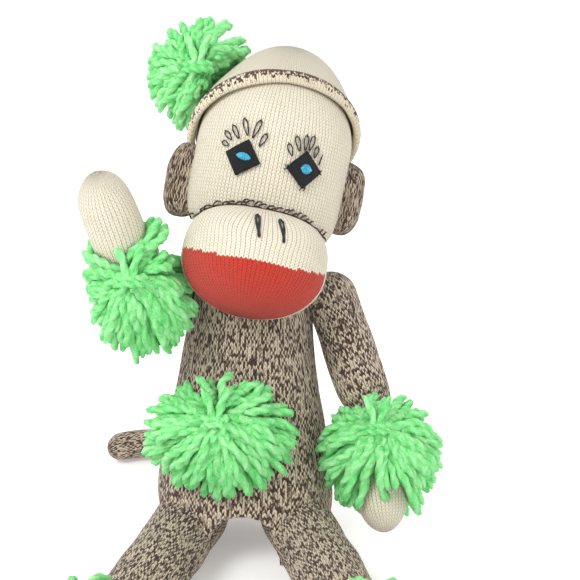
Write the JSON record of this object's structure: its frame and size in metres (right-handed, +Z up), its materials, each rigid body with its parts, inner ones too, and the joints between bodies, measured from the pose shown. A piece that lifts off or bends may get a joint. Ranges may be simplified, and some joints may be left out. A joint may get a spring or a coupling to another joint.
{
  "type": "stuffed sock monkey doll",
  "caption": "Seated knitted sock animal doll with a stuffed body, posable head, arms, legs and tail, a rolled-brim cap and yarn pom-poms",
  "frame": {"origin": "on the surface that the doll sits on, under the middle of its overall box", "axes": "+Z up, the doll faces -Y, its own left side is on +X"},
  "size_m": [0.2506, 0.3704, 0.3409],
  "materials": {
    "marl_knit": "matte",
    "cream_knit": "matte",
    "red_heel_knit": "matte",
    "stuffing": "matte",
    "green_yarn": "matte",
    "green_tie_yarn": "matte",
    "brown_thread": "matte",
    "black_felt": "matte",
    "blue_floss": "matte",
    "black_floss": "matte"
  },
  "bodies": {
    "torso": {"torso_sock": "marl_knit", "torso_stuffing": "stuffing", "belly_pom_yarn": "green_yarn", "belly_pom_tie": "green_tie_yarn"},
    "neck": {"neck_sock": "marl_knit", "neck_stuffing": "stuffing", "neck_gathering_thread": "brown_thread"},
    "head": {"head_sock": "cream_knit", "head_stuffing": "stuffing", "muzzle_sock": "red_heel_knit", "muzzle_stuffing": "stuffing", "muzzle_seam_thread": "brown_thread", "eye_felt_l": "black_felt", "pupil_l": "blue_floss", "lashes_l": "black_floss", "nostril_l": "black_floss", "eye_felt_r": "black_felt", "pupil_r": "blue_floss", "lashes_r": "black_floss", "nostril_r": "black_floss", "cap_crown": "cream_knit", "cap_brim": "marl_knit", "cap_pom_yarn": "green_yarn", "cap_pom_tie": "green_tie_yarn"},
    "tail": {"tail_sock": "marl_knit", "tail_stuffing": "stuffing"},
    "ear_l": {"ear_l": "marl_knit"},
    "shoulder_l": {"shoulder_seam_thread_l": "brown_thread"},
    "upper_arm_l": {"upper_arm_sock_l": "marl_knit", "upper_arm_stuffing_l": "stuffing"},
    "forearm_l": {"forearm_sock_l": "marl_knit", "hand_sock_l": "cream_knit", "lower_arm_stuffing_l": "stuffing", "wrist_pom_l_yarn": "green_yarn", "wrist_pom_l_tie": "green_tie_yarn"},
    "thigh_l": {"thigh_sock_l": "marl_knit", "thigh_stuffing_l": "stuffing"},
    "lower_leg_l": {"shin_sock_l": "marl_knit", "foot_sock_l": "cream_knit", "lower_leg_stuffing_l": "stuffing", "ankle_pom_l_yarn": "green_yarn", "ankle_pom_l_tie": "green_tie_yarn"},
    "ear_r": {"ear_r": "marl_knit"},
    "shoulder_r": {"shoulder_seam_thread_r": "brown_thread"},
    "upper_arm_r": {"upper_arm_sock_r": "marl_knit", "upper_arm_stuffing_r": "stuffing"},
    "forearm_r": {"forearm_sock_r": "marl_knit", "hand_sock_r": "cream_knit", "lower_arm_stuffing_r": "stuffing", "wrist_pom_r_yarn": "green_yarn", "wrist_pom_r_tie": "green_tie_yarn"},
    "thigh_r": {"thigh_sock_r": "marl_knit", "thigh_stuffing_r": "stuffing"},
    "lower_leg_r": {"shin_sock_r": "marl_knit", "foot_sock_r": "cream_knit", "lower_leg_stuffing_r": "stuffing", "ankle_pom_r_yarn": "green_yarn", "ankle_pom_r_tie": "green_tie_yarn"}
  },
  "joints": [
    {"name": "neck_nod", "type": "hinge", "parent": "torso", "child": "neck", "pos_m": [0.00019, 0.08789, 0.19204], "axis": [0.9994, -0.009, -0.0337], "range_deg": [-12, 8]},
    {"name": "neck_turn", "type": "hinge", "parent": "neck", "child": "head", "pos_m": [0.00019, 0.08789, 0.19204], "axis": [-0.1907, -0.3362, -0.9223], "range_deg": [-25, 5]},
    {"name": "ear_fold_l", "type": "hinge", "parent": "head", "child": "ear_l", "pos_m": [0.06104, 0.09972, 0.22936], "axis": [0.1907, 0.3362, 0.9223], "range_deg": [-15, 15]},
    {"name": "ear_fold_r", "type": "hinge", "parent": "head", "child": "ear_r", "pos_m": [-0.04233, 0.09669, 0.24316], "axis": [-0.1907, -0.3362, -0.9223], "range_deg": [-15, 15]},
    {"name": "shoulder_raise_l", "type": "hinge", "parent": "torso", "child": "shoulder_l", "pos_m": [0.05282, 0.0812, 0.16707], "axis": [0, -0.9659, 0.2588], "range_deg": [0, 70]},
    {"name": "shoulder_swing_l", "type": "hinge", "parent": "shoulder_l", "child": "upper_arm_l", "pos_m": [0.05282, 0.0812, 0.16707], "axis": [-0.9455, -0.0843, -0.3145], "range_deg": [-34, 62]},
    {"name": "elbow_bend_l", "type": "hinge", "parent": "upper_arm_l", "child": "forearm_l", "pos_m": [0.06565, 0.06485, 0.13289], "axis": [0.9455, 0.0843, 0.3145], "range_deg": [-95, 4]},
    {"name": "shoulder_raise_r", "type": "hinge", "parent": "torso", "child": "shoulder_r", "pos_m": [-0.05411, 0.08216, 0.17067], "axis": [0, 0.9659, -0.2588], "range_deg": [-12, 10]},
    {"name": "shoulder_swing_r", "type": "hinge", "parent": "shoulder_r", "child": "upper_arm_r", "pos_m": [-0.05411, 0.08216, 0.17067], "axis": [-0.8481, 0.1372, 0.5119], "range_deg": [-46, 6]},
    {"name": "elbow_bend_r", "type": "hinge", "parent": "upper_arm_r", "child": "forearm_r", "pos_m": [-0.06774, 0.04692, 0.15754], "axis": [0.9374, -0.3452, -0.0464], "range_deg": [-12, 88]},
    {"name": "hip_fold_l", "type": "hinge", "parent": "torso", "child": "thigh_l", "pos_m": [0.02719, 0.0434, 0.026], "axis": [-1, 0, 0], "range_deg": [-75, 15]},
    {"name": "knee_bend_l", "type": "hinge", "parent": "thigh_l", "child": "lower_leg_l", "pos_m": [0.05116, -0.035, 0.02448], "axis": [0.9563, 0.2924, 0], "range_deg": [0, 80]},
    {"name": "hip_fold_r", "type": "hinge", "parent": "torso", "child": "thigh_r", "pos_m": [-0.03881, 0.0434, 0.026], "axis": [-1, 0, 0], "range_deg": [-75, 15]},
    {"name": "knee_bend_r", "type": "hinge", "parent": "thigh_r", "child": "lower_leg_r", "pos_m": [-0.06278, -0.035, 0.02448], "axis": [0.9563, -0.2924, 0], "range_deg": [0, 80]},
    {"name": "tail_swing", "type": "hinge", "parent": "torso", "child": "tail", "pos_m": [-0.00553, 0.09087, 0.02156], "axis": [0, 0, 1], "range_deg": [-15, 12]}
  ]
}
